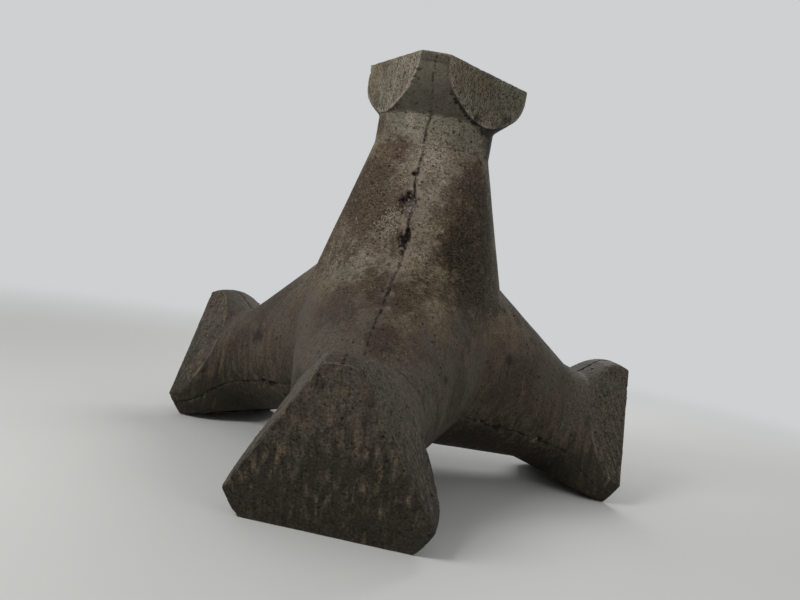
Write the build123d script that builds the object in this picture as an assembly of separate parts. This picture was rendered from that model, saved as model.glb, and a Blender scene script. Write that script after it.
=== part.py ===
from build123d import *
import os
from math import acos, cos, degrees, radians, sin, tan

# A concrete tetrapod: one cast block whose four legs point to the corners of a regular
# tetrahedron. Each leg is a cone that narrows to a round neck and swells into a head,
# and three flats turn the round head into a blunt triangle.
# Millimetres. The origin is the point where the four leg axes meet. The block stands on
# its three lower legs, with the fourth leg straight up along +Z.

# Lengths along a leg, from the origin outwards
cone_length = 1460
neck_length = 225
flare_length = 210
band_length = 245

# Sizes across a leg
cone_angle = 15.5
neck_radius = 470
head_radius = 720

# The flats of the head: their distance from the leg axis at the end face, and how far
# below the flare they fade out on the round neck
flat_distance = 455
flat_runout = 30

# The bevelled arrises of the end face and its corners, and the bevels that ease the neck
# into the flare and the flare into the band
arris = 15
throat_bevel = 15
shoulder_bevel = 70

# The lower legs, as directions seen from above
leg_azimuths = (-90, 30, 150)

# Levels along a leg
neck_end = cone_length + neck_length
band_start = neck_end + flare_length
leg_length = band_start + band_length

# The angle between any two legs, and a length that reaches past a whole leg
leg_spread = degrees(acos(-1 / 3))
clear = 2 * leg_length


def leg_section():
    """Half section of a leg, in the XZ plane, with the leg's axis along Z."""
    root_radius = neck_radius + cone_length * tan(radians(cone_angle))
    outline = Polyline(
        (0, 0, 0),
        (root_radius, 0, 0),
        (neck_radius, 0, cone_length),
        (neck_radius, 0, neck_end),
        (head_radius, 0, band_start),
        (head_radius, 0, leg_length),
        (0, 0, leg_length),
        close=True,
    )
    section = make_face(outline)
    throat = [v for v in section.vertices() if abs(v.Z - neck_end) < 1]
    section = chamfer(throat, throat_bevel)
    shoulder = [v for v in section.vertices() if abs(v.Z - band_start) < 1]
    return chamfer(shoulder, shoulder_bevel)


def cutter(*corners):
    """A block as wide as the cut needs, from its (x, z) corners."""
    outline = Polyline(*[(x, 0, z) for x, z in corners], close=True)
    return extrude(make_face(outline), amount=clear, both=True)


def flat_cutter():
    """What lies outside the head's flat on the -X side, which leans in towards the end."""
    lean = (neck_radius - flat_distance) / (leg_length - neck_end + flat_runout)
    low = cone_length + neck_length / 2
    high = leg_length + clear
    x_low = flat_distance + (leg_length - low) * lean
    x_high = flat_distance + (leg_length - high) * lean
    return cutter((-x_low, low), (-x_high, high), (-clear, high), (-clear, low))


def mitre_cutter():
    """What lies past the plane midway between this leg and the leg on its +X side."""
    half = radians(leg_spread / 2)
    x, z = clear * sin(half), clear * cos(half)
    return cutter((-x, -z), (x, z), (x, -clear), (-x, -clear))


def make_leg():
    """A leg along +Z that ends at the mitre planes, with a corner of its head towards +X."""
    leg = revolve(leg_section(), Axis.Z)
    for turn in (0, 120, 240):
        leg -= Rot(0, 0, turn) * flat_cutter()
        leg -= Rot(0, 0, turn) * mitre_cutter()
    end_edges = [e for e in leg.edges() if e.center().Z > leg_length - 1]
    middle = (band_start + shoulder_bevel + leg_length) / 2
    corner_edges = [e for e in leg.edges() if abs(e.center().Z - middle) < 1]
    return chamfer(end_edges + corner_edges, arris)


def make_tetrapod():
    leg = make_leg()
    upper = Rot(0, 0, leg_azimuths[0]) * leg
    lower = [Rot(0, 0, a) * Rot(0, leg_spread, 0) * Rot(0, 0, 180) * leg for a in leg_azimuths]
    return upper.fuse(*lower)


tetrapod = make_tetrapod()
os.makedirs("parts", exist_ok=True)
export_step(tetrapod, "parts/tetrapod.step")
print("volume in cubic metres:", round(tetrapod.volume / 1e9, 3))
print("size:", tetrapod.bounding_box().size)
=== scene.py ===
import math
import random
import time

import bpy
import numpy as np
from mathutils import Matrix, Vector, kdtree, noise


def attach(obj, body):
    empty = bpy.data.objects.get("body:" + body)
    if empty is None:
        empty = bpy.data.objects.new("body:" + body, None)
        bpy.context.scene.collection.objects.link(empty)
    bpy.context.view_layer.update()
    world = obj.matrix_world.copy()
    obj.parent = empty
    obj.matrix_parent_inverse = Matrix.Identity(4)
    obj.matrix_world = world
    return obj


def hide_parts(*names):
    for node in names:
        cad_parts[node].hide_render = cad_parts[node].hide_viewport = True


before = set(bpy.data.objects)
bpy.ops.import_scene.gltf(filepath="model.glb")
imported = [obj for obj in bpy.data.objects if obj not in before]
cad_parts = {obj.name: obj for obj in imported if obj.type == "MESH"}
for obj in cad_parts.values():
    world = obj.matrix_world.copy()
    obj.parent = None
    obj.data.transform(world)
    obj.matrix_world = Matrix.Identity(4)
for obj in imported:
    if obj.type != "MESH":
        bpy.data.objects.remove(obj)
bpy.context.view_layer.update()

startTime = time.time()


def report(stage):
    print(f"{stage} ({time.time() - startTime:.0f} s)")


# Camera. Metres and degrees; the block leans a little in the picture.
cameraSettings = {
    "place": (0.8682, -6.8381, 0.5951),
    "turn": (87.16, -10.02, 8.08),
    "lens": 38.44,
    "sensor": 36,
}


def addCamera(settings):
    data = bpy.data.cameras.new("camera")
    data.lens, data.sensor_width = settings["lens"], settings["sensor"]
    data.clip_end = 300
    camera = bpy.data.objects.new("camera", data)
    bpy.context.scene.collection.objects.link(camera)
    camera.location = settings["place"]
    camera.rotation_euler = [math.radians(angle) for angle in settings["turn"]]
    bpy.context.scene.camera = camera


addCamera(cameraSettings)
report("camera placed")

# The block. Metres; the four leg axes meet at the origin.
block = {
    "sides": 138,
    "coneLength": 1.46,
    "coneAngle": 15.5,
    "neckLength": 0.225,
    "neckRadius": 0.47,
    "throatRadius": 0.04,
    "flareLength": 0.21,
    "shoulderRadius": 0.28,
    "headRadius": 0.72,
    "bandLength": 0.245,
    "flatDistance": 0.455,
    "flatRunout": 0.03,
    "flatsFrom": 0.1,  # below the flare, where a ring bounds what the flats cut
    "arris": 0.015,
    "throatSteps": 4,
    "shoulderSteps": 8,
    "lowerAzimuths": (-90, 30, 150),
    # slopes of the hand-struck end faces, along and across the corner that faces the camera or up
    "topLean": (-0.0294, -0.0237),
    "topDrop": 0.0215,
    "lowerLeans": (-0.016, -0.022, -0.012),
    "voxel": 0.0073,
    "triangles": 196000,
}
neckEnd = block["coneLength"] + block["neckLength"]
bandStart = neckEnd + block["flareLength"]
legLength = bandStart + block["bandLength"]
coneSlope = math.tan(math.radians(block["coneAngle"]))
flareAngle = math.atan((block["headRadius"] - block["neckRadius"]) / block["flareLength"])
straightStart = bandStart + block["shoulderRadius"] * math.tan(flareAngle / 2)
flatSlope = (block["neckRadius"] - block["flatDistance"]) / (
    legLength - neckEnd + block["flatRunout"])
legSpread = math.acos(-1 / 3)
legAcross = math.sin(legSpread)
wayGap = math.sqrt(8 / 3)  # between the tips of two legs' unit vectors
# where the corners and the flats of a head lie round a leg, in degrees
cornerTurns, flatTurns = (0, 120, 240), (180, 300, 60)
onPlane = 1e-4


def turnZ(degrees):
    return Matrix.Rotation(math.radians(degrees), 4, "Z")


def outwards(degrees):
    return Vector((math.cos(math.radians(degrees)), math.sin(math.radians(degrees)), 0))


def flatReach(height):
    return block["flatDistance"] + (legLength - height) * flatSlope


# how each leg is turned from the upright one that is modelled, which has a corner towards +X
legTurns = [turnZ(block["lowerAzimuths"][0])] + [
    turnZ(azimuth) @ Matrix.Rotation(legSpread, 4, "Y") @ turnZ(180)
    for azimuth in block["lowerAzimuths"]]
legWays = [turn @ Vector((0, 0, 1)) for turn in legTurns]
endPlanes = []


def select(obj):
    if bpy.context.object and bpy.context.object.mode != "OBJECT":
        bpy.ops.object.mode_set(mode="OBJECT")
    bpy.ops.object.select_all(action="DESELECT")
    obj.select_set(True)
    bpy.context.view_layer.objects.active = obj


def pick(obj, kind, test):
    bpy.ops.mesh.select_mode(type=kind)
    bpy.ops.mesh.select_all(action="DESELECT")
    bpy.ops.object.mode_set(mode="OBJECT")
    corners = obj.data.vertices
    for part in (obj.data.polygons if kind == "FACE" else obj.data.edges):
        part.select = test([corners[i].co for i in part.vertices])
    bpy.ops.object.mode_set(mode="EDIT")


# heights and radii of the rings of a leg, with a round throat under the flare and a round
# shoulder above it
def legRings(s):
    rings = [(0, s["neckRadius"] + s["coneLength"] * coneSlope), (s["coneLength"], s["neckRadius"]),
             (neckEnd - s["flatsFrom"], s["neckRadius"])]
    low = neckEnd - s["throatRadius"] * math.tan(flareAngle / 2)
    for i in range(s["throatSteps"] + 1):
        angle = flareAngle * i / s["throatSteps"]
        rings.append((low + s["throatRadius"] * math.sin(angle),
                      s["neckRadius"] + s["throatRadius"] * (1 - math.cos(angle))))
    for i in range(s["shoulderSteps"] + 1):
        angle = flareAngle * (1 - i / s["shoulderSteps"])
        rings.append((straightStart - s["shoulderRadius"] * math.sin(angle),
                      s["headRadius"] - s["shoulderRadius"] * (1 - math.cos(angle))))
    return rings + [(legLength, s["headRadius"])]


def makeLeg(s):
    rings = legRings(s)
    bpy.ops.object.select_all(action="DESELECT")
    bpy.ops.mesh.primitive_circle_add(vertices=s["sides"], radius=rings[0][1], fill_type="NGON")
    leg = bpy.context.object
    leg.name = "leg"
    bpy.ops.object.mode_set(mode="EDIT")
    for (height, radius), (nextHeight, nextRadius) in zip(rings, rings[1:]):
        bpy.ops.mesh.extrude_region_move(TRANSFORM_OT_translate={"value": (0, 0, nextHeight - height)})
        widen = nextRadius / radius
        bpy.ops.transform.resize(value=(widen, widen, 1), center_override=(0, 0, 0))
    pick(leg, "FACE", lambda c: max(v.z for v in c) < onPlane)
    bpy.ops.mesh.delete(type="FACE")
    # three flats on the head, which lean in towards the end
    for turn in flatTurns:
        out = outwards(turn)
        pick(leg, "FACE", lambda c: min(v.z for v in c) > neckEnd - s["flatsFrom"] - onPlane)
        bpy.ops.mesh.bisect(
            plane_co=out * s["flatDistance"] + Vector((0, 0, legLength)),
            plane_no=out + Vector((0, 0, flatSlope)), use_fill=True, clear_outer=True)
    # the mitres against the other three legs
    for turn in cornerTurns:
        other = Vector((math.cos(math.radians(turn)) * legAcross,
                        math.sin(math.radians(turn)) * legAcross, -1 / 3))
        bpy.ops.mesh.select_all(action="SELECT")
        midway = (other - Vector((0, 0, 1))).normalized()
        bpy.ops.mesh.bisect(plane_co=(0, 0, 0), plane_no=midway, clear_outer=True)
    bpy.ops.object.mode_set(mode="OBJECT")
    return leg


def placeLeg(leg, name, lean, drop, turn):
    select(leg)
    bpy.ops.object.duplicate()
    copy = bpy.context.object
    copy.name = name
    bpy.ops.object.mode_set(mode="EDIT")
    up = Vector((-lean[0], -lean[1], 1)).normalized()
    through = Vector((0, 0, legLength - drop))
    endPlanes.append((turn @ through, turn.to_3x3() @ up))
    bpy.ops.mesh.select_all(action="SELECT")
    bpy.ops.mesh.bisect(plane_co=through, plane_no=up, use_fill=True, clear_outer=True)
    # bevel the edges of the end face; wear rounds the corners of the head
    pick(copy, "EDGE", lambda c: all(abs((v - through).dot(up)) < onPlane for v in c))
    bpy.ops.mesh.bevel(offset=block["arris"], segments=1, affect="EDGES", clamp_overlap=False)
    bpy.ops.object.mode_set(mode="OBJECT")
    copy.matrix_world = turn
    bpy.ops.object.transform_apply(location=False, rotation=True, scale=False)
    return copy


def makeBlock(s):
    leg = makeLeg(s)
    legs = [placeLeg(leg, "leg_up", s["topLean"], s["topDrop"], legTurns[0])]
    for i, lean in enumerate(s["lowerLeans"]):
        drop = -lean * s["flatDistance"]  # the edge that stands on the ground stays
        legs.append(placeLeg(leg, f"leg_{i}", (lean, 0), drop, legTurns[i + 1]))
    bpy.data.objects.remove(leg)
    select(legs[0])
    for other in legs[1:]:
        other.select_set(True)
    bpy.ops.object.join()
    whole = bpy.context.object
    whole.name = whole.data.name = "castBlock"
    bpy.ops.object.mode_set(mode="EDIT")
    bpy.ops.mesh.select_all(action="SELECT")
    bpy.ops.mesh.remove_doubles(threshold=2 * onPlane)
    bpy.ops.mesh.normals_make_consistent(inside=False)
    bpy.ops.mesh.select_all(action="DESELECT")
    bpy.ops.mesh.select_mode(type="EDGE")
    bpy.ops.mesh.select_non_manifold()
    bpy.ops.object.mode_set(mode="OBJECT")
    print("open edges:", sum(e.select for e in whole.data.edges))
    return whole


def applyModifier(obj, kind, **settings):
    select(obj)
    modifier = obj.modifiers.new(kind.lower(), kind)
    for name, value in settings.items():
        setattr(modifier, name, value)
    bpy.ops.object.modifier_apply(modifier=modifier.name)


castBlock = makeBlock(block)
report("block joined")
applyModifier(castBlock, "REMESH", mode="VOXEL", voxel_size=block["voxel"])
print("faces after remesh:", len(castBlock.data.polygons))
report("block remeshed")

# What casting and the sea did to the surface. Metres, except for counts and shares. Places on a
# leg are its number, the angle round it from the corner that faces the camera or up, and the
# height along it.
relief = {
    "unevenness": ((0.55, 0.006), (0.17, 0.0035), (0.05, 0.0016)),  # size and depth
    "shellDepths": (0.0035, 0.0, 0.002, 0.004),  # how deep each of the four mould shells lies
    "neckStep": 0.0018,
    "seamsFrom": 0.5,
    "seamWidth": 0.010,
    "seamDepth": 0.006,
    "wornWidth": 0.015,
    "wornDepth": 0.004,
    "chipDepth": 0.012,
    "creaseDepth": 0.007,
    "creasePlace": 0.010,  # off the arc on the flare
    "lipPlace": 0.028,  # off the arc on the flat
    "creaseReach": 0.05,
    "struckDepth": 0.006,
    "softEdge": (0.012, 0.03),
    "needle": (0.002, 0.004),  # how far a point stands out when it is smoothed
    "holeCount": 640,
    "holeRadius": (0.005, 0.013),
    "holeRim": 1.25,  # in radii
    "holeDepth": 0.95,
    "stringHeights": (0.6, 2.1),
    "stringGap": (0.022, 0.085),
    "stringRadius": (0.004, 0.0085),
    "stringWander": 0.008,
    "patchReach": 0.12,
    "patchHeights": (0.62, 1.45),
    "patchSizes": (0.02, 0.055),
    "patchWander": 0.02,
    "patchDepths": (0.018, 0.034),
    "seed": 7,
    "deepest": 0.06,
}
# badly compacted patches: leg, angle, height, place across, half length, half width, depth
patches = [
    (0, 0, 1.228, -0.023, 0.020, 0.028, 0.022),
    (0, 0, 1.003, -0.026, 0.080, 0.074, 0.032),
    (0, 0, 0.928, -0.006, 0.036, 0.016, 0.020),
    (0, 0, 0.790, 0.014, 0.030, 0.030, 0.026),
    (0, 0, 0.742, 0.006, 0.048, 0.050, 0.034),
    (0, 0, 0.693, -0.006, 0.034, 0.032, 0.030),
    (0, 0, 0.637, -0.002, 0.026, 0.016, 0.020),
    (0, -9, 1.950, 0.0, 0.009, 0.020, 0.018),
    (0, -11, 1.906, 0.0, 0.008, 0.022, 0.018),
    (0, -13, 1.868, 0.0, 0.009, 0.020, 0.018),
]
placedPatches = len(patches)  # more are spread over the other seams
# single pores, listed one by one: leg, angle, height, radius
pores = [
    (0, -21, 1.573, 0.011), (0, -7.8, 1.573, 0.008), (0, 14.4, 1.517, 0.010), (0, 22.2, 1.488, 0.009),
    (0, 16.9, 1.568, 0.008), (0, 7.4, 1.435, 0.008), (0, 33.7, 1.544, 0.009), (0, 0.3, 0.852, 0.012),
    (0, -82, 1.906, 0.009), (0, -53, 1.882, 0.010), (0, 59.6, 2.024, 0.011), (0, 65, 1.761, 0.011),
    (0, 41, 1.905, 0.008), (0, 72, 1.86, 0.008),
]


def fade(x, low, high):
    t = np.clip((x - low) / (high - low), 0, 1)
    return t * t * (3 - 2 * t)


def rough(points, scale, move=(0, 0, 0)):
    return np.array([noise.noise(p) for p in (points * scale + move).tolist()])


def readPoints(obj):
    points = np.empty(len(obj.data.vertices) * 3, np.float32)
    obj.data.vertices.foreach_get("co", points)
    return points.reshape(-1, 3).astype(float)


# the seams wander a little; the material uses the same waves
waves = ((5.5, (0.4, 1.1, 4.0), 0.010), (17, (0.3, 2.1, 4.0), 0.005), (43, (1.3, 0.2, 2.7), 0.0025))


def wander(points):
    for rate, phase, size in waves:
        points = points + np.sin(points[:, (2, 0, 1)] * rate + phase) * size
    return points


ringHeights, ringRadii = zip(*legRings(block))


def ringRadius(height):
    return np.interp(height, ringHeights, ringRadii)


# where each point lies: its height on its leg, its mould shell, and its distances to the seams
# and to the faces of the head
class Places:
    def __init__(self, points):
        self.points = points
        heights = points @ np.array(legWays).T
        ordered = np.sort(heights, axis=1)
        leg = heights.argmax(axis=1)
        self.along, away = ordered[:, 3], ordered[:, 0]
        ways = np.array(legWays)[leg]
        radius = np.linalg.norm(points - self.along[:, None] * ways, axis=1)
        through = np.array([plane[0] for plane in endPlanes])[leg]
        normal = np.array([plane[1] for plane in endPlanes])[leg]
        self.toEnd = -((points - through) * normal).sum(axis=1)
        lean = (ringRadius(self.along + 0.004) - ringRadius(self.along - 0.004)) / 0.008
        self.toRound = (ringRadius(self.along) - radius) / np.sqrt(1 + lean ** 2)
        self.toFlat = flatReach(self.along) + (away + self.along / 3) / legAcross
        # the nearest two faces of the head tell the edge between them; the nearest tells what
        # a point is on: the struck end face, a flat, or the flare and band
        self.head = self.along > neckEnd - 0.02
        nearest = np.sort(np.column_stack((self.toEnd, self.toRound, self.toFlat)), axis=1)
        self.edge = np.where(self.along > neckEnd + 0.02, nearest[:, 1] - nearest[:, 0], 1)
        self.struck = fade(np.minimum(self.toRound, self.toFlat) - self.toEnd, -0.003, 0.002)
        self.struck *= self.along > bandStart
        self.onFlat = self.head * fade(self.toRound - self.toFlat, -0.002, 0.003)
        flareEnd = 1 - fade(self.along, bandStart + 0.105, bandStart + 0.125)
        self.onFlare = self.head * (1 - self.onFlat) * flareEnd
        wandered = wander(points) @ np.array(legWays).T
        self.shell = wandered.argmin(axis=1)
        wandered = np.sort(wandered, axis=1)
        self.seam = (wandered[:, 1] - wandered[:, 0]) / wayGap


# a place on the round surface of a leg, with the ways out of it and round it
def onLeg(leg, angle, height):
    turn, out, radius = legTurns[leg], outwards(angle), ringRadius(height)
    if height > neckEnd - block["flatRunout"]:
        towardsFlat = max(out.dot(outwards(flat)) for flat in flatTurns)
        radius = min(radius, flatReach(height) / max(towardsFlat, 0.1))
    return turn @ (out * radius + Vector((0, 0, height))), turn.to_3x3() @ out


# how far each point lies in a patch, the points near it, and how far up and aside they lie; the
# patch can be slipped or resized
def patchMask(points, patch, slip=0.0, size=1.0):
    leg, angle, height, across, halfLength, halfWidth, _ = patch
    middle, out = onLeg(leg, angle, height)
    way = legWays[leg]
    side = way.cross(out)
    middle = middle + side * (across + slip * halfWidth) - way * (slip * halfLength)
    offset = points - np.array(middle)
    lengthwise, sideways, deep = (offset @ np.array(axis) for axis in (way, side, out))
    reach = np.sqrt((lengthwise / (halfLength * size)) ** 2 + (sideways / (halfWidth * size)) ** 2
                    + (deep / relief["patchReach"]) ** 2)
    near = np.flatnonzero(reach < 1.9)
    mask = np.zeros(len(points))
    broken = rough(points[near], 24) * 0.5 + rough(points[near], 61) * 0.4
    mask[near] = 1 - fade(reach[near] + broken, 0.55, 1.1)
    return mask, near, (lengthwise / halfLength - sideways / halfWidth)[near]


def patchDepth(points):
    depth = np.zeros(len(points))
    for patch in patches:
        mask, near, lift = patchMask(points, patch)
        pits = 0.62 + 0.9 * rough(points[near], 40) + 0.5 * rough(points[near], 105)
        pits = np.clip(pits + 0.2 * lift.clip(-1.5, 1.5), 0.06, 1.35)
        depth[near] = np.maximum(depth[near], mask[near] * pits * patch[-1])
    return depth


# the legs of the block have more such patches on their other seams
def spreadPatches(chance, s):
    for leg in range(4):
        for angle in cornerTurns:
            if (leg, angle) == (0, 0):
                continue
            for _ in range(chance.choice((1, 2, 2, 3))):
                size = chance.uniform(*s["patchSizes"])
                patches.append((
                    leg, angle, chance.uniform(*s["patchHeights"]),
                    chance.uniform(-s["patchWander"], s["patchWander"]), size,
                    size * chance.uniform(0.5, 0.9), chance.uniform(*s["patchDepths"])))


def listHoles(places, chance, s):
    holes = [(onLeg(leg, angle, height)[0], radius) for leg, angle, height, radius in pores]
    least, most = s["holeRadius"]
    for _ in range(s["holeCount"]):
        spot = Vector(places.points[chance.randrange(len(places.points))])
        holes.append((spot, least + (most - least) * chance.random() ** 2))
    # strings of small holes along the seams
    for leg in range(4):
        for angle in cornerTurns:
            height, top = s["stringHeights"]
            while height < top:
                spot, out = onLeg(leg, angle, height)
                aside = chance.uniform(-s["stringWander"], s["stringWander"])
                spot = spot + legWays[leg].cross(out) * aside
                holes.append((spot, chance.uniform(*s["stringRadius"])))
                height += chance.uniform(*s["stringGap"])
    return holes


def holeDepth(points, holes, s):
    tree = kdtree.KDTree(len(points))
    for i, p in enumerate(points.tolist()):
        tree.insert(p, i)
    tree.balance()
    depth = np.zeros(len(points))
    for centre, radius in holes:
        rim = radius * s["holeRim"]
        for _, i, distance in tree.find_range(centre, rim):
            share = max(0.0, 1 - (distance / rim) ** 2)
            depth[i] = max(depth[i], share ** 0.6 * radius * s["holeDepth"])
    return depth


def edgeWear(places, s):
    near = np.flatnonzero(places.edge < s["wornWidth"] * 2.2)
    points, distance = places.points[near], places.edge[near]
    slow, quick = rough(points, 5.5), rough(points, 19, (7, 3, 1))
    fine = rough(points, 62)
    worn = np.zeros(len(places.points))
    edge = 1 - fade(distance, 0, s["wornWidth"] * (1 + 0.5 * quick))
    worn[near] = edge * s["wornDepth"] * (0.7 + 0.5 * fade(slow, -0.3, 0.4) + 0.25 * fine)
    share = 0.75 - 0.2 * (places.toEnd[near] < 0.05)
    chip = 1 - fade(distance, 0.004, s["wornWidth"] * 1.9)
    chip = chip * fade(quick + 0.6 * slow + 0.1 * fine, 0.36, 0.72)
    worn[near] += chip * s["chipDepth"] * share
    return worn


# the joint between the flat plates and the flare leaves a crease on the round side of the arcs,
# and a faint groove behind the rounded lip on the flat side
def creaseDepth(places, s):
    depth = np.zeros(len(places.points))
    near = np.flatnonzero(places.head & (places.edge < s["creaseReach"]) & (places.struck < 0.5))
    points = places.points[near]
    uneven = fade(rough(points, 7, (2, 5, 9)), -0.15, 0.3) * (0.7 + 0.8 * rough(points, 40))
    gap = places.toFlat[near] - places.toRound[near]
    foot = (1 - fade(np.abs(gap - s["creasePlace"]), 0.002, 0.012)) * places.onFlare[near]
    lip = (1 - fade(np.abs(gap + s["lipPlace"]), 0.001, 0.008)) * places.onFlat[near]
    depth[near] = uneven.clip(0, 1.4) * (foot * s["creaseDepth"] + lip * s["creaseDepth"] * 0.4)
    return depth


def seamDepth(places, s):
    near = places.seam < s["seamWidth"] * 2.2
    near = np.flatnonzero(near & (places.struck < 0.5) & (places.along > s["seamsFrom"]))
    points = places.points[near]
    coarse, fine = rough(points, 8, (4, 4, 1)), rough(points, 30)
    width = s["seamWidth"] * (1 + 0.7 * fine)
    depth = np.zeros(len(places.points))
    strength = (0.35 + 0.9 * fade(coarse, -0.2, 0.35) + 0.6 * fine).clip(0.1, 1.6)
    depth[near] = (1 - fade(places.seam[near], 0.1 * width, width)) * s["seamDepth"] * strength
    return depth


def struckDepth(places, s):
    near = np.flatnonzero(places.struck > 0)
    points = places.points[near]
    waved = 0.5 + 0.6 * rough(points, 7) + 0.35 * rough(points, 23) + 0.3 * rough(points, 60)
    depth = np.zeros(len(places.points))
    inside = places.struck[near] * fade(places.edge[near], 0.0, 0.05)
    depth[near] = inside * waved.clip(0, 1.3) * s["struckDepth"]
    return depth


# a displace modifier reads the depths from a vertex group
def setGroup(obj, name, weights):
    group = obj.vertex_groups.new(name=name)
    steps = np.rint(weights * 250).astype(int)
    order = np.argsort(steps, kind="stable")
    values, starts = np.unique(steps[order], return_index=True)
    for step, members in zip(values, np.split(order, starts[1:])):
        if step > 0:
            group.add(members.tolist(), step / 250, "REPLACE")
    return group.name


# how far each point stands out from the middle of its neighbours
def sharpness(obj):
    points = readPoints(obj)
    normals = np.empty(len(points) * 3, np.float32)
    obj.data.vertices.foreach_get("normal", normals)
    pairs = np.empty(len(obj.data.edges) * 2, np.int32)
    obj.data.edges.foreach_get("vertices", pairs)
    first, second = pairs.reshape(-1, 2).T
    total, count = np.zeros_like(points), np.zeros(len(points))
    for here, there in ((first, second), (second, first)):
        np.add.at(total, here, points[there])
        np.add.at(count, here, 1)
    return ((points - total / count[:, None]) * normals.reshape(-1, 3)).sum(axis=1)


def shapeRelief(obj, s):
    chance = random.Random(s["seed"])
    spreadPatches(chance, s)
    places = Places(readPoints(obj))
    holes = listHoles(places, chance, s)
    depth = np.array(s["shellDepths"])[places.shell] * (1 - places.struck)
    neckStart = block["coneLength"]
    onNeck = fade(places.along, neckStart + 0.002, neckStart + 0.006)
    depth += onNeck * s["neckStep"] * (1 - places.struck)
    depth += seamDepth(places, s) + creaseDepth(places, s) + edgeWear(places, s) + struckDepth(places, s)
    depth += patchDepth(places.points) + holeDepth(places.points, holes, s)
    depth = depth.clip(0, s["deepest"])
    report("relief measured")
    group = setGroup(obj, "relief", depth / s["deepest"])
    applyModifier(obj, "DISPLACE", vertex_group=group, strength=-s["deepest"], mid_level=0)
    # these take off the thin fins and needles that the displacement leaves
    edges = setGroup(obj, "edges", 1 - fade(places.edge, *s["softEdge"]))
    applyModifier(obj, "SMOOTH", vertex_group=edges, factor=0.5, iterations=3)
    needles = setGroup(obj, "needles", fade(sharpness(obj), *s["needle"]))
    applyModifier(obj, "SMOOTH", vertex_group=needles, factor=1, iterations=6)
    obj.vertex_groups.clear()
    for i, (size, strength) in enumerate(s["unevenness"]):
        clouds = bpy.data.textures.new(f"unevenness{i}", "CLOUDS")
        clouds.noise_scale, clouds.noise_depth = size, 2
        applyModifier(obj, "DISPLACE", texture=clouds, texture_coords="LOCAL", strength=strength,
                      mid_level=1)
    report("relief applied")
    # only triangles, because joined pairs can leave faces back to back
    ratio = block["triangles"] / (2 * len(obj.data.polygons))
    applyModifier(obj, "DECIMATE", ratio=ratio, use_collapse_triangulate=True)
    print("triangles:", len(obj.data.polygons))
    select(obj)
    bpy.ops.object.shade_smooth_by_angle(angle=math.radians(30))
    report("block thinned")
    return holes


holes = shapeRelief(castBlock, relief)

# Large stains on the legs: leg, angle, height, half width, half height, strength. The upright leg
# follows the photograph, and the rest of the block is weathered in the same ways. On the upright leg the
# black ones, and one damp one, are painted shadow under the right flat and at the foot of the arcs.
stains = {
    "brown": [
        (0, -48, 1.00, 0.50, 0.42, 1.0), (0, -34, 1.38, 0.26, 0.16, 0.7), (0, -70, 0.70, 0.60, 0.40, 0.6),
        (0, -80, 2.06, 0.20, 0.22, 0.45), (0, -62, 1.58, 0.10, 0.12, 0.6), (0, -88, 1.80, 0.10, 0.26, 0.4),
        (0, 50, 1.22, 0.28, 0.24, 1.0), (0, 42, 0.85, 0.34, 0.34, 1.0), (0, 62, 1.92, 0.42, 0.22, 0.35),
        (0, 74, 1.55, 0.16, 0.16, 0.5), (0, -8, 0.70, 0.20, 0.30, 0.5), (0, -24, 0.98, 0.22, 0.30, 0.9),
    ],
    "purple": [
        (0, 52, 1.25, 0.26, 0.18, 0.9), (0, -50, 0.95, 0.30, 0.20, 0.6), (0, -30, 1.18, 0.18, 0.16, 0.5),
        (0, 32, 0.95, 0.20, 0.22, 0.6), (0, -6, 0.80, 0.09, 0.40, 0.5), (0, -2, 1.20, 0.07, 0.20, 0.4),
    ],
    "ochre": [
        (0, -95, 2.00, 0.25, 0.20, 0.9), (0, -72, 2.09, 0.16, 0.10, 0.9), (0, -40, 1.36, 0.12, 0.08, 0.7),
        (0, -60, 1.45, 0.12, 0.10, 0.9), (0, -62, 0.72, 0.35, 0.12, 0.7), (0, 50, 1.95, 0.20, 0.15, 0.6),
        (0, 60, 1.75, 0.12, 0.07, 0.7), (0, 36, 1.42, 0.14, 0.08, 0.5),
    ],
    "pale": [
        (0, 16, 1.34, 0.26, 0.22, 0.8), (0, -12, 0.84, 0.12, 0.24, 0.8), (0, 12, 0.62, 0.18, 0.14, 0.8),
        (0, 20, 1.08, 0.14, 0.30, 0.5), (0, -50, 1.84, 0.16, 0.26, 0.6), (0, 10, 1.58, 0.24, 0.12, 0.4),
    ],
    "damp": [
        (0, 66, 0.80, 0.42, 0.50, 1.0), (0, 92, 1.10, 0.32, 0.50, 1.0), (0, 50, 0.45, 0.60, 0.36, 1.0),
        # the entry at 97 degrees and 1.52 m darkens the neck under the right flat's corner: painted shade
        (0, 97, 1.52, 0.24, 0.34, 1.2), (0, 36, 0.70, 0.30, 0.26, 1.1), (0, 42, 1.02, 0.14, 0.16, 0.6),
        (2, 0, 1.05, 0.50, 0.55, 1.0),
    ],
    # on the upright leg painted shadow under the right flat and at the foot of the arcs; elsewhere small
    # dark stains
    "blackStainAndShadow": [
        (0, 82, 1.655, 0.20, 0.050, 1.4), (0, 45, 1.725, 0.05, 0.06, 0.9), (0, 38, 1.785, 0.035, 0.09, 0.8),
        (0, 86, 1.58, 0.12, 0.22, 1.2), (0, 47, 1.79, 0.04, 0.05, 0.55),
    ],
}


def spreadStains(chance):
    spread = {"brown": 9, "purple": 4, "ochre": 4, "pale": 6, "damp": 5, "blackStainAndShadow": 2}
    for kind, count in spread.items():
        for leg in range(4):
            for _ in range(count):
                angle = chance.uniform(100, 260) if leg == 0 else chance.uniform(0, 360)
                height = chance.uniform(0.6, 2.0 if kind in ("pale", "ochre") else 1.45)
                size = chance.uniform(0.10, 0.30) * (0.3 if kind == "blackStainAndShadow" else 1)
                stains[kind].append((leg, angle, height, size, size * chance.uniform(0.7, 1.6),
                                     chance.uniform(0.5, 1.0)))


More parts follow.
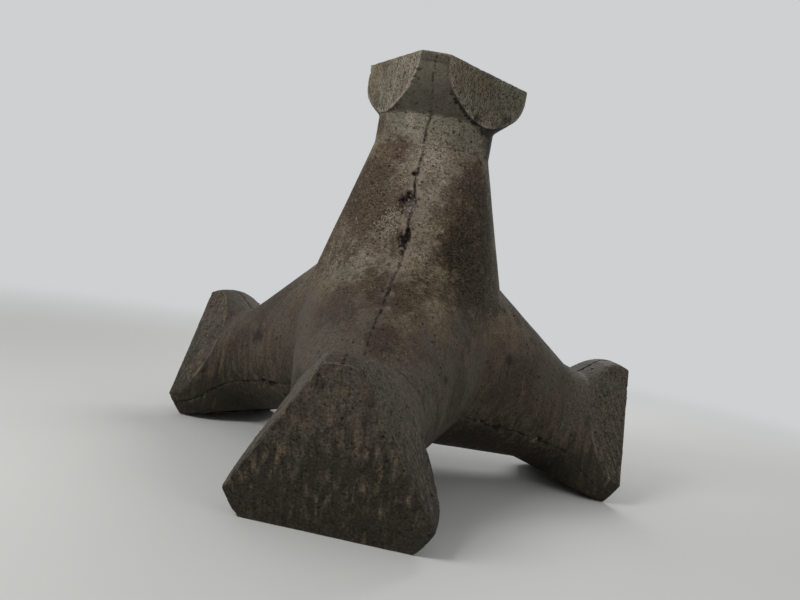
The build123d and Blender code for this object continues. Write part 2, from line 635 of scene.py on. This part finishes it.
def stainShare(places, kind):
    share = np.zeros(len(places.points))
    for leg, angle, height, halfWidth, halfHeight, strength in stains[kind]:
        middle, _ = onLeg(leg, angle, height)
        offset = places.points - np.array(middle)
        lengthwise = offset @ np.array(legWays[leg])
        across = np.sqrt(((offset ** 2).sum(axis=1) - lengthwise ** 2).clip(0))
        reach = np.sqrt((lengthwise / halfHeight) ** 2 + (across / halfWidth) ** 2)
        near = np.flatnonzero(reach < 1.8)
        broken = 0.5 * rough(places.points[near], 4.5) + 0.35 * rough(places.points[near], 13)
        mask = strength * (1.25 - reach[near] + broken).clip(0, 1)
        share[near] = np.maximum(share[near], mask)
    return share


def storeShare(obj, name, values):
    attribute = obj.data.attributes.new(name, "FLOAT", "POINT")
    attribute.data.foreach_set("value", values.clip(0, 1).astype(np.float32))


def storeShares(obj, s):
    spreadStains(random.Random(s["seed"] + 4))
    places = Places(readPoints(obj))
    points = places.points
    # a share is full at these depths
    storeShare(obj, "hollow", patchDepth(points) / 0.022 + holeDepth(points, holes, s) / 0.010)
    storeShare(obj, "worn", edgeWear(places, s) / 0.010)
    storeShare(obj, "struck", places.struck)
    storeShare(obj, "crease", creaseDepth(places, s) / s["creaseDepth"])
    # the rounded lip along the flats' arcs, which the material lights with a painted highlight
    lip = (1 - fade(places.toRound - places.toFlat, 0.010, 0.030)) * places.onFlat
    lipEnd = 1 - fade(places.along, bandStart + 0.055, bandStart + 0.155)
    storeShare(obj, "lip", lip * (1 - places.struck) * lipEnd)
    # bared stones show in the lower part of the large patch and of every second one that was spread
    stony = np.zeros(len(points))
    for patch in patches[1:2] + patches[placedPatches::2]:
        stony = np.maximum(stony, patchMask(points, patch, slip=0.34, size=0.85)[0])
    storeShare(obj, "stony", stony)
    # the patches' broken rims, weighted towards one corner of each patch, where the material paints a
    # shadow
    broken = np.zeros(len(points))
    for patch in patches:
        mask, near, lift = patchMask(points, patch, size=1.15)
        broken[near] = np.maximum(broken[near], mask[near] * (0.8 + 0.3 * lift.clip(-1, 1)))
    storeShare(obj, "broken", broken)
    for kind in stains:
        storeShare(obj, kind, stainShare(places, kind))


storeShares(castBlock, relief)
report("shares stored")


# Materials
class Value:
    def __init__(self, shader, socket):
        self.shader, self.socket = shader, socket

    def math(self, operation, *others):
        inputs = dict(enumerate((self, *others)))
        return self.shader.node("ShaderNodeMath", {"operation": operation}, inputs)

    def __add__(self, other):
        return self.math("ADD", other)

    def __mul__(self, other):
        return self.math("MULTIPLY", other)

    def __sub__(self, other):
        return self.math("SUBTRACT", other)

    def __rsub__(self, other):
        return self.shader.node("ShaderNodeMath", {"operation": "SUBTRACT"}, {0: other, 1: self})

    def __truediv__(self, other):
        return self.math("DIVIDE", other)

    __radd__, __rmul__ = __add__, __mul__

    def __abs__(self):
        return self.math("ABSOLUTE")

    def max(self, other):
        return self.math("MAXIMUM", other)

    def min(self, other):
        return self.math("MINIMUM", other)

    def fade(self, low, high):
        return self.shader.node("ShaderNodeMapRange", {"interpolation_type": "SMOOTHSTEP"},
                                {"Value": self, "From Min": low, "From Max": high})


class Shader:
    def __init__(self, owner):
        owner.use_nodes = True
        self.tree = owner.node_tree
        self.surface = self.tree.nodes.get("Principled BSDF")
        self.place = self.node("ShaderNodeTexCoord", output="Object")

    def node(self, kind, settings=None, inputs=None, output=0):
        made = self.tree.nodes.new(kind)
        for name, value in (settings or {}).items():
            setattr(made, name, value)
        for name, value in (inputs or {}).items():
            self.put(made.inputs[name], value)
        return Value(self, made.outputs[output])

    def put(self, socket, value):
        if isinstance(value, Value):
            self.tree.links.new(value.socket, socket)
        else:
            socket.default_value = value

    def parts(self, vector):
        made = self.node("ShaderNodeSeparateXYZ", {}, {0: vector}).socket.node
        return [Value(self, socket) for socket in made.outputs]

    def share(self, name):
        return self.node("ShaderNodeAttribute", {"attribute_name": name}, output="Fac")

    def vector(self, operation, *values, output=0):
        inputs = dict(enumerate(values))
        return self.node("ShaderNodeVectorMath", {"operation": operation}, inputs, output)

    def scaled(self, vector, factor):
        return self.node("ShaderNodeVectorMath", {"operation": "SCALE"}, {0: vector, "Scale": factor})

    def noise(self, scale, detail=3, roughness=0.55, distortion=0.0, at=None, move=(0, 0, 0)):
        at = at or self.place
        if any(move):
            at = self.vector("ADD", at, move)
        return self.node("ShaderNodeTexNoise", {}, {
            "Vector": at, "Scale": scale, "Detail": detail, "Roughness": roughness,
            "Distortion": distortion})

    def cells(self, scale, output="Distance", at=None):
        inputs = {"Vector": at or self.place, "Scale": scale}
        return self.node("ShaderNodeTexVoronoi", {}, inputs, output)

    # a number for each cell
    def cellShade(self, scale, at=None):
        return self.node("ShaderNodeSeparateColor", {}, {0: self.cells(scale, "Color", at)})

    def mix(self, share, first, second, blend="MIX"):
        made = self.tree.nodes.new("ShaderNodeMix")
        made.data_type, made.blend_type = "RGBA", blend
        for i, value in ((0, share), (6, first), (7, second)):
            self.put(made.inputs[i], value)
        return Value(self, made.outputs[2])


def tone(red, green, blue):
    return tuple(((c / 255 + 0.055) / 1.055) ** 2.4 if c > 10 else c / 255 / 12.92
                 for c in (red, green, blue)) + (1,)


concrete = {
    "clean": tone(114, 107, 94),
    "green": tone(106, 104, 91),
    "cleanDark": tone(88, 81, 69),
    "laitanceAndHighlight": tone(141, 131, 120),
    "tan": tone(102, 88, 70),
    "ochre": tone(112, 95, 72),
    "brown": tone(70, 58, 46),
    "darkBrown": tone(40, 33, 26),
    "purple": tone(64, 54, 49),
    "damp": tone(34, 28, 14),
    "tide": tone(46, 38, 30),
    "slime": tone(36, 35, 26),
    "crackAndShade": tone(24, 19, 16),
    "rottenAndShadow": tone(34, 27, 25),
    "stoneBed": tone(100, 90, 83),
    "stone": tone(160, 150, 142),
    # share stored on the block, tone, factor, where the fade starts and ends, strength
    "weathering": (
        ("brown", "brown", 1.5, 0.1, 1.0, 0.95), ("purple", "purple", 1, 0.3, 1.1, 0.7),
        ("pale", "laitanceAndHighlight", 1, 0.4, 1.2, 0.6), ("ochre", "ochre", 1, 0.3, 1.2, 0.65),
    ),
    # brightness of each mould shell's flats, partly the shell's tone and partly painted light and shade
    "shellTonesAndLight": (1.03, 1.06, 1.08, 1.02),
    # painted shade on the flare, which faces down
    "flareShadeTone": 0.62,
    "bandTone": 0.42,
    "pebbleContrast": 0.9,
    "gloss": 0.15,
    "roughness": 0.92,
    "dampRoughness": 0.62,
}


# a shader built up in layers of colour, which also keeps the patterns and areas that they use
class Coat(Shader):
    def __init__(self, owner, tones):
        super().__init__(owner)
        self.tones = tones
        self.colour = tones["clean"]

    def over(self, share, name):
        self.colour = self.mix(share, self.colour, self.tones[name])

    def tint(self, share, strength, blue):
        self.colour = self.mix(share, self.colour, (strength, strength, strength * blue, 1), "MULTIPLY")


# height along each leg, sorted: a seam runs where the two smallest are equal
def findSeams(m):
    walked = m.place
    for rate, phase, size in waves:
        x, y, z = m.parts(walked)
        cycled = m.node("ShaderNodeCombineXYZ", {}, {0: z, 1: x, 2: y})
        angle = m.vector("ADD", m.scaled(cycled, rate), phase)
        walked = m.vector("ADD", walked, m.scaled(m.vector("SINE", angle), size))
    h = [m.vector("DOT_PRODUCT", walked, tuple(way), output="Value") for way in legWays]
    lowA, highA = h[0].min(h[1]), h[0].max(h[1])
    lowB, highB = h[2].min(h[3]), h[2].max(h[3])
    away = lowA.min(lowB)
    third = lowA.max(lowB).min(highA.min(highB))
    m.seam = (third - away) / wayGap
    m.shells = [1 - (height - away).fade(0.0, 0.004) for height in h]


# the largest height is along the leg that a point is on; on its head, the point is on a flat
# where that is nearer than the round face, by the profile of the flare and the band
def findHead(m):
    m.heights = [m.vector("DOT_PRODUCT", m.place, tuple(way), output="Value") for way in legWays]
    h = m.heights
    m.along = h[0].max(h[1]).max(h[2].max(h[3]))
    away = h[0].min(h[1]).min(h[2].min(h[3]))
    m.ownWay = (0, 0, 0)
    for way, height in zip(legWays, h):
        here = height.math("GREATER_THAN", m.along - 0.0004)
        m.ownWay = m.vector("ADD", m.scaled(tuple(way), here), m.ownWay)
    inFlat = flatReach(m.along) + (away + m.along / 3) / legAcross
    shoulder = block["shoulderRadius"]
    beside = (straightStart - m.along).max(0)
    onArc = beside.min(shoulder * math.sin(flareAngle))
    swell = (shoulder ** 2 - onArc * onArc).math("SQRT")
    ring = block["headRadius"] - shoulder + swell - (beside - onArc) * math.tan(flareAngle)
    offAxis = m.vector("SUBTRACT", m.place, m.scaled(m.ownWay, m.along))
    radius = m.vector("LENGTH", offAxis, output="Value")
    inRound = (ring.max(block["neckRadius"]) - radius) * swell / shoulder
    m.gap = inFlat - inRound


# a pattern stretched along or round its leg
def grained(m, across, lengthwise, detail=3, roughness=0.6, move=(0, 0, 0)):
    stretch = m.scaled(m.ownWay, m.along * (lengthwise - across))
    at = m.vector("ADD", m.scaled(m.place, across), stretch)
    return m.noise(1, detail, roughness, at=at, move=move)


def makePatterns(m):
    m.cloud = m.noise(1.15, 4, 0.55)
    m.patchy = m.noise(3.6, 5, 0.6, 0.4, move=(3, 1, 7))
    m.mottle = m.noise(13, 5, 0.62, 0.3)
    m.blotch = m.noise(31, 4, 0.62, move=(5, 5, 5))
    m.grain = m.noise(66, 3, 0.7)
    m.sand = m.noise(160, 3, 0.75)
    m.streak = grained(m, 15, 1.2, 4)
    m.drips = grained(m, 24, 2.4, 4, move=(8, 1, 3))
    m.runs = m.noise(1, 3, 0.55, at=m.vector("MULTIPLY", m.place, (26, 26, 1.1)), move=(4, 2, 0))
    m.fibres = grained(m, 70, 16, 3, 0.7)
    m.pits = grained(m, 62, 34, 2, 0.6, move=(2, 9, 4))
    m.dashes = grained(m, 30, 85, 3, 0.65)
    m.ragged = (m.mottle - 0.5) * 1.6 + (m.blotch - 0.5) * 2.0 + (m.grain - 0.5) * 2.0


def findAreas(m):
    along, neckStart = m.along, block["coneLength"]
    m.hollow, m.worn, m.struck = m.share("hollow"), m.share("worn"), m.share("struck")
    m.stony, m.broken, m.brown = m.share("stony"), m.share("broken"), m.share("brown")
    # the lip, broken into patches, carries a painted highlight
    m.lip = m.share("lip") * (m.mottle + (m.patchy - 0.5) * 0.8).fade(0.38, 0.60)
    m.cast = 1 - m.struck
    m.cone = 1 - along.fade(neckStart - 0.06, neckStart + 0.01)
    m.neck = along.fade(neckStart, neckStart + 0.01) * (1 - along.fade(neckEnd + 0.005, neckEnd + 0.015))
    m.plate = m.gap.fade(-0.002, 0.002)
    flareEnd = 1 - along.fade(bandStart + 0.127, bandStart + 0.141)
    m.flare = along.fade(neckEnd, neckEnd + 0.015) * flareEnd * m.plate * m.cast
    m.onFlat = along.fade(neckEnd - 0.035, neckEnd - 0.015) * (1 - m.plate) * m.cast
    bandEnd = 1 - along.fade(legLength - 0.02, legLength)
    m.band = along.fade(bandStart + 0.111, bandStart + 0.135) * bandEnd * m.plate * m.cast
    # height above the ground, with a ragged line
    up = m.parts(m.place)[2]
    m.level = up + (m.patchy - 0.5) * 0.9 + (m.cloud - 0.5) * 0.9 + (m.mottle - 0.5) * 0.25
    m.tide = (1 - m.level.fade(-0.15, 0.75) + m.ragged * 0.4).fade(0.15, 1.0)


def paintSkin(m, s):
    m.over(m.cloud.fade(0.42, 0.6), "green")
    m.over(m.patchy.fade(0.45, 0.66) * 0.6, "cleanDark")
    m.over(m.streak.fade(0.5, 0.7) * 0.35, "laitanceAndHighlight")
    upwards = m.along.fade(neckEnd + 0.035, legLength - 0.06)
    m.over(m.drips.fade(0.5, 0.66) * m.onFlat * upwards * 0.55, "tan")
    # painted highlight along the lip, in the pale skin's tone
    m.over(m.lip * 0.6, "laitanceAndHighlight")
    # each shell's flats get their own brightness: partly the shell's tone, partly painted light and shade
    # of how light falls on each flat
    for shell, strength in zip(m.shells, s["shellTonesAndLight"]):
        m.tint(shell * m.cast * (m.onFlat * 0.9 + 0.1), strength, 0.98)
    # painted shade: the downward-facing flare is darkened in its colour
    m.tint(m.flare, s["flareShadeTone"], 0.99)
    m.tint(m.band, s["bandTone"], 0.99)


def paintWeather(m, s):
    warm = (m.cloud * 0.5 + m.patchy * 0.5).fade(0.40, 0.54) * m.cone
    m.over(warm * 0.7, "tan")
    for kind, tone, reach, low, high, strength in s["weathering"]:
        m.over((m.share(kind) * reach + m.ragged).fade(low, high) * strength, tone)
    specks = (m.grain * 0.6 + m.blotch * 0.4).fade(0.535, 0.60)
    m.over(specks * (m.brown * 0.6 + m.cone * 0.2 + m.onFlat * 0.4 + m.neck * 0.25), "darkBrown")
    m.over(m.pits.fade(0.58, 0.66) * m.onFlat * 0.6, "darkBrown")
    glints = m.cellShade(68, m.vector("ADD", m.place, (3, 3, 3)))
    m.over(glints.fade(0.93, 0.96) * m.grain.fade(0.42, 0.55) * m.cone * 0.35, "laitanceAndHighlight")


def paintDamp(m):
    damp = (m.share("damp") + m.ragged * 0.8).fade(0.05, 1.1)
    m.over(m.tide * 0.72, "tide")
    m.over(damp * 0.92, "damp")
    slime = (1 - (m.level + (m.runs - 0.5) * 1.6).fade(-0.9, -0.35)) * m.tide
    m.over(slime * 0.75, "slime")
    streaked = m.patchy.fade(0.38, 0.6) * (m.struck * 0.4 + m.tide * 0.3)
    m.over(m.runs.fade(0.48, 0.68) * streaked * (1 - slime * 0.7), "tan")
    m.over((1 - m.runs.fade(0.34, 0.50)) * streaked, "darkBrown")
    m.damp = damp.max(m.tide)
    flecks = (m.grain * 0.7 + m.sand * 0.3).fade(0.54, 0.64) * (m.blotch + m.mottle).fade(1.0, 1.25)
    m.over(flecks * m.damp * (1 - m.tide * 0.6) * 0.45, "tan")
    # painted shadow on the upright leg's neck and head, small dark stains elsewhere
    m.over((m.share("blackStainAndShadow") + m.ragged * 0.5).fade(0.2, 0.8) * 0.9, "crackAndShade")


# the grain of the surface, upright on the flats and level on the cones, and the stones of the
# mix that show where the skin has weathered off
def paintGrain(m, s):
    ribbed = (m.dashes - 0.5) * (m.cone * 2.0 + m.neck * 1.2) * (1 - m.tide * 0.8)
    scored = (m.fibres - 0.5) * (1.3 - m.tide) + (m.blotch - 0.5) * 1.1 + (m.grain - 0.5)
    ribbed = ribbed + scored * m.onFlat * (1 - m.lip * 0.7)
    shade = (m.grain - 0.5) * 3.2 * (1 - m.flare * 0.6) + (m.blotch - 0.5) * (1 - m.flare * 0.4)
    shade = shade + (m.sand - 0.5) * 2.4 + ribbed
    shade = shade * (1 + m.damp * 1.1 + m.brown * 0.3 - m.tide * 1.1 + m.onFlat * 0.35)
    # painted highlight on the lip
    shade = shade + 1 + m.lip * 0.16
    m.stones = m.cellShade(40)
    m.pebble = 1 - m.cells(40).fade(0.24, 0.5)
    m.bared = m.brown * 0.8 + m.struck * 0.5 + m.tide * 0.35 + (m.mottle - 0.5) * 1.2
    m.bared = m.bared.fade(0.1, 0.8)
    shade = shade + (m.stones - 0.45) * m.pebble * m.bared * s["pebbleContrast"]
    grey = m.node("ShaderNodeCombineColor", {}, {0: shade, 1: shade, 2: shade})
    m.colour = m.mix(1.0, m.colour, grey, "MULTIPLY")


# the strip of grout beside the seams, and the seams themselves
def paintSeams(m):
    mottle, blotch = m.mottle - 0.5, m.blotch - 0.5
    strip = (1 - (m.seam + mottle * 0.1).fade(0.02, 0.07)) * m.patchy.fade(0.40, 0.60)
    m.over(strip * m.cone * (1 - m.damp) * 0.4, "laitanceAndHighlight")
    olive = (1 - (m.seam + mottle * 0.012).fade(0.004, 0.017)) * m.neck
    m.over(olive * 0.75, "brown")
    ridge = (1 - (m.seam + blotch * 0.05 + mottle * 0.04).fade(0.006, 0.020)) * m.cone * m.cast
    m.over(ridge * (m.mottle + (m.patchy - 0.5) * 0.5).fade(0.36, 0.50) * 0.85, "purple")
    gaps = (m.mottle + (m.patchy - 0.5) * 0.7).fade(0.43, 0.56) * m.cone
    gaps = gaps * (0.4 + 0.6 * m.along.fade(0.5, 0.7))
    dotted = grained(m, 9, 34, 2, 0.5, move=(1, 4, 6)).fade(0.46, 0.56) * (1 - m.cone)
    line = 1 - (m.seam + blotch * 0.05 + (m.grain - 0.5) * 0.03).fade(0.002, 0.010)
    m.line = line * (gaps + dotted * 0.75) * m.cast
    m.over(m.line * 0.9, "crackAndShade")


# the casting lines at both ends of the neck, and the joint along the arcs, part dark joint and part painted
# shadow under the flats' rims, black at its worst near the foot and under the upper right flat
def paintJointsAndShadow(m):
    mottle, blotch, along = m.mottle - 0.5, m.blotch - 0.5, m.along
    m.joint = 1 - abs(along - (block["coneLength"] + 0.004) + mottle * 0.02).fade(0.001, 0.006)
    m.over(m.joint * (m.patchy + blotch).fade(0.42, 0.58) * 0.65, "darkBrown")
    throat = (1 - abs(along - (neckEnd + 0.002) + mottle * 0.01).fade(0.002, 0.012)) * m.plate
    m.over(throat * m.blotch.fade(0.4, 0.6) * 0.5, "darkBrown")
    foot = along.fade(neckEnd - 0.015, neckEnd)
    foot = foot * (1 - (along + mottle * 0.2).fade(neckEnd + 0.115, neckEnd + 0.195))
    # the line along the arcs is part dark joint and part painted shadow under the flats' rims
    arc = m.gap + blotch * 0.09 + (m.grain - 0.5) * 0.05 + mottle * 0.05
    arc = (1 - arc.fade(0.014, 0.032)) * m.plate
    upperRight = m.shells[3] * m.heights[0].math("GREATER_THAN", 0.0)
    worst = (upperRight + m.patchy.fade(0.52, 0.62) * 0.7).min(0.95)
    m.over(arc * foot * m.cast * worst, "crackAndShade")
    # the crease at the foot of the arcs, part dirt and part painted shade
    m.over(m.share("crease") * 0.6, "darkBrown")


# pores, painted shade in the holes and the patches' broken rims, and the stones that show in the hollows
def paintHollows(m):
    for scale, least in ((21, 0.70), (38, 0.72)):
        pore = (1 - m.cells(scale).fade(0.15, 0.24)) * m.cellShade(scale).fade(least, least + 0.03)
        m.over(pore * (1 - m.flare * 0.3) * 0.85, "crackAndShade")
    # worn edges lighter, part paler worn skin and part painted highlight on the arrises
    m.over(m.worn * (1 - m.damp * 0.6) * 0.3, "laitanceAndHighlight")
    m.over(m.hollow.max(m.broken).fade(0.0, 0.5) * 0.6, "purple")
    # painted shade in the holes and the deep parts of the patches
    m.over(m.hollow.fade(0.35, 1.0) * (1 - m.stony * 0.8) * 0.92, "crackAndShade")
    # dark crumbly rims of the patches, part real and part painted shadow on one side
    rottenAndShadow = m.broken * 1.2 + (m.grain - 0.5) * 2.2 + (m.blotch - 0.5) * 1.6
    m.over(rottenAndShadow.fade(0.45, 0.85) * (1 - m.stony * 0.85) * 0.9, "rottenAndShadow")
    m.over(m.stony * 0.75, "stoneBed")
    m.over(m.stony * m.stones.fade(0.2, 0.45) * m.pebble * 0.85, "stone")


def setSurface(m, s):
    surface = m.surface.inputs
    m.put(surface["Base Color"], m.colour)
    surface["Specular IOR Level"].default_value = s["gloss"]
    m.put(surface["Roughness"], s["roughness"] - m.damp * (s["roughness"] - s["dampRoughness"]))
    height = m.mottle * 0.003 + m.blotch * 0.003 + m.grain * 0.0026 + m.sand * 0.0012
    height = height + m.fibres * m.onFlat * 0.0012 + m.dashes * m.cone * 0.0012
    height = height - m.line * 0.004 - m.joint * 0.002 + m.pebble * (m.stony * 0.006 + m.bared * 0.002)
    bump = m.node("ShaderNodeBump", {}, {"Strength": 1, "Distance": 1, "Height": height})
    m.put(surface["Normal"], bump)


def makeConcrete(s):
    material = bpy.data.materials.new("weatheredConcrete")
    m = Coat(material, s)
    findSeams(m)
    findHead(m)
    makePatterns(m)
    findAreas(m)
    paintSkin(m, s)
    paintWeather(m, s)
    paintDamp(m)
    paintGrain(m, s)
    paintSeams(m)
    paintJointsAndShadow(m)
    paintHollows(m)
    setSurface(m, s)
    return material


def dressBlock(obj, s):
    obj.data.materials.clear()
    obj.data.materials.append(makeConcrete(s))
    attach(obj, "root")
    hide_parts("tetrapod")


dressBlock(castBlock, concrete)
report("concrete made")

# Floor, backdrop and lamps
studio = {
    "floor": tone(196, 196, 193),
    "backdrop": tone(206, 208, 209),
    "fadeFrom": 4.5,
    "fadeTo": 12,
    "floorSize": 160,
    "ambient": 0.42,
    "key": ((-5.2, -6.7, 6.2), 4.5, 600),
    "fill": ((7.0, -5.0, 3.0), 6.0, 75),
    "back": ((1.5, 8.0, 6.0), 5.0, 420),
}


def addLamp(name, place, size, power):
    data = bpy.data.lights.new(name, "AREA")
    data.shape, data.size, data.energy = "DISK", size, power
    lamp = bpy.data.objects.new(name, data)
    bpy.context.scene.collection.objects.link(lamp)
    lamp.location = place
    lamp.rotation_euler = (-Vector(place)).to_track_quat("-Z", "Y").to_euler()


def addFloor(s, level):
    bpy.ops.object.select_all(action="DESELECT")
    bpy.ops.mesh.primitive_plane_add(size=s["floorSize"], location=(0, 0, level))
    floor = bpy.context.object
    floor.name = "floor"
    material = bpy.data.materials.new("paleFloor")
    m = Shader(material)
    flat = m.vector("MULTIPLY", m.place, (1, 1, 0))
    far = m.vector("LENGTH", flat, output="Value").fade(s["fadeFrom"], s["fadeTo"])
    m.surface.inputs["Roughness"].default_value = 0.9
    m.surface.inputs["Base Color"].default_value = s["floor"]
    glow = m.node("ShaderNodeEmission", {}, {"Color": s["backdrop"], "Strength": 1})
    mixed = m.node("ShaderNodeMixShader", {}, {0: far, 1: Value(m, m.surface.outputs[0]), 2: glow})
    m.put(m.tree.nodes["Material Output"].inputs["Surface"], mixed)
    floor.data.materials.append(material)


def setWorld(s):
    world = bpy.data.worlds.new("studio")
    bpy.context.scene.world = world
    m = Shader(world)
    light = m.node("ShaderNodeBackground", {}, {"Color": (1, 1, 1, 1), "Strength": s["ambient"]})
    backdrop = m.node("ShaderNodeBackground", {}, {"Color": s["backdrop"], "Strength": 1})
    seen = m.node("ShaderNodeLightPath", output="Is Camera Ray")
    for ray in ("Is Glossy Ray", "Is Transmission Ray"):
        seen = seen.max(m.node("ShaderNodeLightPath", output=ray))
    mixed = m.node("ShaderNodeMixShader", {}, {0: seen, 1: light, 2: backdrop})
    m.put(m.tree.nodes["World Output"].inputs["Surface"], mixed)


bpy.context.scene.view_settings.view_transform = "Standard"
setWorld(studio)
addFloor(studio, readPoints(castBlock)[:, 2].min())
for lampName in ("key", "fill", "back"):
    addLamp(lampName, *studio[lampName])
report("studio set")
